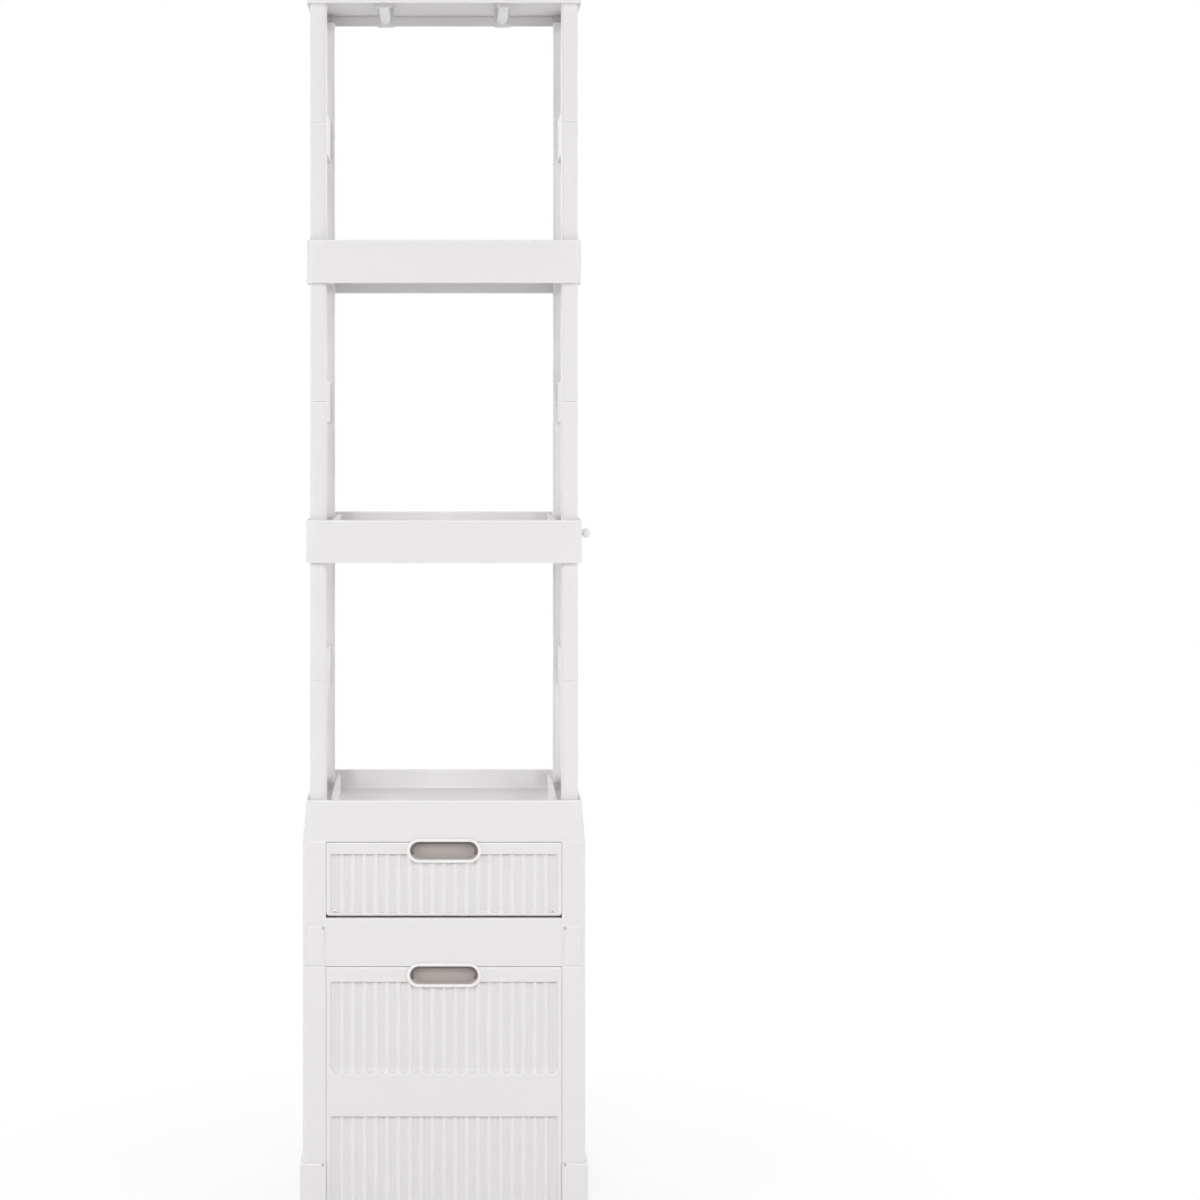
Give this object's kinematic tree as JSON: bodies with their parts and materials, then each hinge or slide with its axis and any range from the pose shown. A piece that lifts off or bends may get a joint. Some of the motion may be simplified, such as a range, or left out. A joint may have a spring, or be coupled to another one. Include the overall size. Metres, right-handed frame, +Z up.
{
  "type": "folding plastic wardrobe",
  "caption": "Tall white plastic wardrobe: a cabinet with fluted drop-down doors and open shelves above it on side frames that fold inwards.",
  "frame": {"origin": "middle of the footprint, on the floor", "axes": "+Z up, the doors face -Y, +X to the right seen from the front"},
  "size_m": [0.4135, 0.3365, 1.795],
  "materials": {
    "white_plastic": "satin",
    "steel": "drawn",
    "rubber": "matte",
    "magnet": "matte",
    "rail": "white coated tube"
  },
  "bodies": {
    "cabinet": {"base_frame": "white_plastic", "cabinet_top": "white_plastic", "door_catches": "magnet", "feet": "rubber", "lower_back_panel": "white_plastic", "lower_left_panel": "white_plastic", "lower_right_panel": "white_plastic", "middle_caps": "white_plastic", "middle_frame": "white_plastic", "upper_back_panel": "white_plastic", "upper_left_panel": "white_plastic", "upper_right_panel": "white_plastic"},
    "lower_door": {"lower_door": "white_plastic", "lower_pull": "white_plastic", "lower_door_pins": "steel"},
    "upper_door": {"upper_door": "white_plastic", "upper_pull": "white_plastic", "upper_door_pins": "steel"},
    "s1_left_lower": {"s1_left_lower": "white_plastic", "s1_left_rod": "steel"},
    "s1_left_upper": {"s1_left_upper": "white_plastic"},
    "s1_right_lower": {"s1_right_lower": "white_plastic", "s1_right_rod": "steel"},
    "s1_right_upper": {"s1_right_upper": "white_plastic"},
    "lower_shelf": {"lower_shelf": "white_plastic", "side_peg": "white_plastic"},
    "s2_left_lower": {"s2_left_lower": "white_plastic", "s2_left_rod": "steel"},
    "s2_left_upper": {"s2_left_upper": "white_plastic"},
    "s2_right_lower": {"s2_right_lower": "white_plastic", "s2_right_rod": "steel"},
    "s2_right_upper": {"s2_right_upper": "white_plastic"},
    "upper_shelf": {"upper_shelf": "white_plastic"},
    "s3_left_lower": {"s3_left_lower": "white_plastic", "s3_left_rod": "steel"},
    "s3_left_upper": {"s3_left_upper": "white_plastic"},
    "s3_right_lower": {"s3_right_lower": "white_plastic", "s3_right_rod": "steel"},
    "s3_right_upper": {"s3_right_upper": "white_plastic"},
    "top_shelf": {"top_shelf": "white_plastic", "left_rail": "rail", "left_socket_front": "white_plastic", "left_socket_rear": "white_plastic", "right_rail": "rail", "right_socket_front": "white_plastic", "right_socket_rear": "white_plastic"}
  },
  "joints": [
    {"name": "fold_1", "type": "hinge", "parent": "cabinet", "child": "s1_left_lower", "pos_m": [-0.184, 0, 0.597], "axis": [0, 1, 0], "range_deg": [0, 90]},
    {"name": "s1_left_knee", "type": "hinge", "parent": "s1_left_lower", "child": "s1_left_upper", "pos_m": [-0.1915, 0, 0.772], "axis": [0, 1, 0], "range_deg": [-180, 0]},
    {"name": "s1_shelf_pivot", "type": "hinge", "parent": "s1_left_upper", "child": "lower_shelf", "pos_m": [-0.184, 0, 0.947], "axis": [0, 1, 0], "range_deg": [0, 90]},
    {"name": "s1_right_foot", "type": "hinge", "parent": "cabinet", "child": "s1_right_lower", "pos_m": [0.184, 0, 0.597], "axis": [0, 1, 0], "range_deg": [-90, 0]},
    {"name": "s1_right_head", "type": "hinge", "parent": "lower_shelf", "child": "s1_right_upper", "pos_m": [0.184, 0, 0.947], "axis": [0, 1, 0], "range_deg": [0, 90]},
    {"name": "fold_2", "type": "hinge", "parent": "lower_shelf", "child": "s2_left_lower", "pos_m": [-0.184, 0, 0.994], "axis": [0, 1, 0], "range_deg": [0, 90]},
    {"name": "s2_left_knee", "type": "hinge", "parent": "s2_left_lower", "child": "s2_left_upper", "pos_m": [-0.1915, 0, 1.169], "axis": [0, 1, 0], "range_deg": [-180, 0]},
    {"name": "s2_shelf_pivot", "type": "hinge", "parent": "s2_left_upper", "child": "upper_shelf", "pos_m": [-0.184, 0, 1.344], "axis": [0, 1, 0], "range_deg": [0, 90]},
    {"name": "s2_right_foot", "type": "hinge", "parent": "lower_shelf", "child": "s2_right_lower", "pos_m": [0.184, 0, 0.994], "axis": [0, 1, 0], "range_deg": [-90, 0]},
    {"name": "s2_right_head", "type": "hinge", "parent": "upper_shelf", "child": "s2_right_upper", "pos_m": [0.184, 0, 1.344], "axis": [0, 1, 0], "range_deg": [0, 90]},
    {"name": "fold_3", "type": "hinge", "parent": "upper_shelf", "child": "s3_left_lower", "pos_m": [-0.184, 0, 1.391], "axis": [0, 1, 0], "range_deg": [0, 90]},
    {"name": "s3_left_knee", "type": "hinge", "parent": "s3_left_lower", "child": "s3_left_upper", "pos_m": [-0.1915, 0, 1.566], "axis": [0, 1, 0], "range_deg": [-180, 0]},
    {"name": "s3_shelf_pivot", "type": "hinge", "parent": "s3_left_upper", "child": "top_shelf", "pos_m": [-0.184, 0, 1.741], "axis": [0, 1, 0], "range_deg": [0, 90]},
    {"name": "s3_right_foot", "type": "hinge", "parent": "upper_shelf", "child": "s3_right_lower", "pos_m": [0.184, 0, 1.391], "axis": [0, 1, 0], "range_deg": [-90, 0]},
    {"name": "s3_right_head", "type": "hinge", "parent": "top_shelf", "child": "s3_right_upper", "pos_m": [0.184, 0, 1.741], "axis": [0, 1, 0], "range_deg": [0, 90]},
    {"name": "lower_door_hinge", "type": "hinge", "parent": "cabinet", "child": "lower_door", "pos_m": [0, -0.1575, 0.0224], "axis": [1, 0, 0], "range_deg": [0, 90]},
    {"name": "upper_door_hinge", "type": "hinge", "parent": "cabinet", "child": "upper_door", "pos_m": [0, -0.1575, 0.4464], "axis": [1, 0, 0], "range_deg": [0, 90]}
  ],
  "couplings": [
    {"joint": "s1_left_knee", "follows": "fold_1", "ratio": -2},
    {"joint": "s1_shelf_pivot", "follows": "fold_1", "ratio": 1},
    {"joint": "s1_right_foot", "follows": "fold_1", "ratio": -1},
    {"joint": "s1_right_head", "follows": "fold_1", "ratio": 1},
    {"joint": "s2_left_knee", "follows": "fold_2", "ratio": -2},
    {"joint": "s2_shelf_pivot", "follows": "fold_2", "ratio": 1},
    {"joint": "s2_right_foot", "follows": "fold_2", "ratio": -1},
    {"joint": "s2_right_head", "follows": "fold_2", "ratio": 1},
    {"joint": "s3_left_knee", "follows": "fold_3", "ratio": -2},
    {"joint": "s3_shelf_pivot", "follows": "fold_3", "ratio": 1},
    {"joint": "s3_right_foot", "follows": "fold_3", "ratio": -1},
    {"joint": "s3_right_head", "follows": "fold_3", "ratio": 1}
  ]
}
